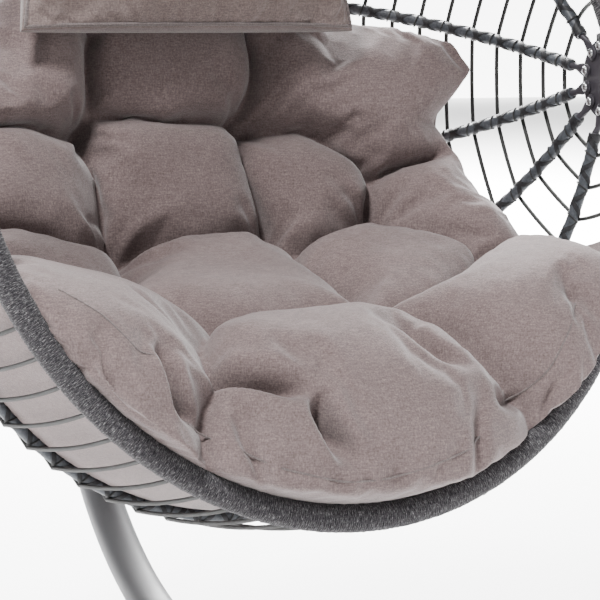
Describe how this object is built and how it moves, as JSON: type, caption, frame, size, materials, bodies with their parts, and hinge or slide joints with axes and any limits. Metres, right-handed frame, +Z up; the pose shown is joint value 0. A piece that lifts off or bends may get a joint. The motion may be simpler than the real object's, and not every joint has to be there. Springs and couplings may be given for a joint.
{
  "type": "hanging egg chair",
  "caption": "Hanging egg chair: woven basket with a tufted cushion and head pillow, hung by a spring and swivel from a C-shaped stand on a ring base.",
  "frame": {"origin": "on the floor, at the middle of the footprint of the whole chair", "axes": "+Z up, +X to the right when looking along +Y into the basket, and the basket opens towards -Y"},
  "size_m": [1.097, 1.254, 1.9925],
  "materials": {
    "powder_coated_steel": "satin",
    "basket_frame_steel": "satin",
    "zinc_plated_steel": "satin",
    "charcoal_yarn": "matte",
    "dark_flat_wicker": "satin",
    "dark_round_strand": "satin",
    "taupe_fabric": "matte",
    "pale_cord": "matte",
    "black_plastic": "matte",
    "black_rubber": "matte"
  },
  "bodies": {
    "stand": {"base_spine": "powder_coated_steel", "base_ring_left": "powder_coated_steel", "base_ring_right": "powder_coated_steel", "arm_socket": "powder_coated_steel", "socket_cap": "black_plastic", "arm_lower": "powder_coated_steel", "arm_upper": "powder_coated_steel", "arm_bolt": "zinc_plated_steel", "arm_end_cap": "black_plastic", "hanger_eye": "powder_coated_steel", "foot_front_left": "black_rubber", "foot_front_right": "black_rubber", "foot_rear_left": "black_rubber", "foot_rear_right": "black_rubber"},
    "top_link": {"top_link": "zinc_plated_steel"},
    "swivel_housing": {"swivel_barrel": "zinc_plated_steel"},
    "spring_carrier": {"swivel_pin": "zinc_plated_steel", "spring": "zinc_plated_steel"},
    "basket": {"lower_link": "zinc_plated_steel", "rim_core": "basket_frame_steel", "rim_wrap": "charcoal_yarn", "rim_eye": "basket_frame_steel", "hub_disc_left": "basket_frame_steel", "hub_disc_right": "basket_frame_steel", "web_strand_left": "dark_round_strand", "web_strand_right": "dark_round_strand", "cushion": "taupe_fabric", "pillow": "taupe_fabric", "hoop_1": "basket_frame_steel", "hoop_2": "basket_frame_steel", "hoop_3": "basket_frame_steel", "hoop_4": "basket_frame_steel", "hoop_5": "basket_frame_steel", "hoop_wrap_1": "dark_flat_wicker", "hoop_wrap_2": "dark_flat_wicker", "hoop_wrap_3": "dark_flat_wicker", "hoop_wrap_4": "dark_flat_wicker", "hoop_wrap_5": "dark_flat_wicker", "rim_strut_upper_left": "basket_frame_steel", "rim_strut_upper_right": "basket_frame_steel", "rim_strut_lower_left": "basket_frame_steel", "rim_strut_lower_right": "basket_frame_steel", "hub_rivet_left_1": "zinc_plated_steel", "hub_rivet_left_2": "zinc_plated_steel", "hub_rivet_left_3": "zinc_plated_steel", "hub_rivet_left_4": "zinc_plated_steel", "hub_rivet_left_5": "zinc_plated_steel", "hub_rivet_left_6": "zinc_plated_steel", "hub_rivet_left_7": "zinc_plated_steel", "hub_rivet_right_1": "zinc_plated_steel", "hub_rivet_right_2": "zinc_plated_steel", "hub_rivet_right_3": "zinc_plated_steel", "hub_rivet_right_4": "zinc_plated_steel", "hub_rivet_right_5": "zinc_plated_steel", "hub_rivet_right_6": "zinc_plated_steel", "hub_rivet_right_7": "zinc_plated_steel", "pillow_tie_left_1": "pale_cord", "pillow_tie_left_2": "pale_cord", "pillow_tie_right_1": "pale_cord", "pillow_tie_right_2": "pale_cord"}
  },
  "joints": [
    {"name": "swing_fore_aft", "type": "hinge", "parent": "stand", "child": "top_link", "pos_m": [0, -0.16612, 1.85563], "axis": [1, 0, 0], "range_deg": [-18, 8]},
    {"name": "swing_sideways", "type": "hinge", "parent": "top_link", "child": "swivel_housing", "pos_m": [0, -0.16612, 1.80463], "axis": [0, 1, 0], "range_deg": [-10, 10]},
    {"name": "swivel_turn", "type": "hinge", "parent": "swivel_housing", "child": "spring_carrier", "pos_m": [0, -0.16612, 1.74063], "axis": [0, 0, 1], "continuous": true},
    {"name": "spring_travel", "type": "slide", "parent": "spring_carrier", "child": "basket", "axis": [0, 0, -1], "range_m": [0, 0.04], "stiffness_N_per_m": 15000, "springref_m": -0.03, "deforming": ["spring"]}
  ]
}
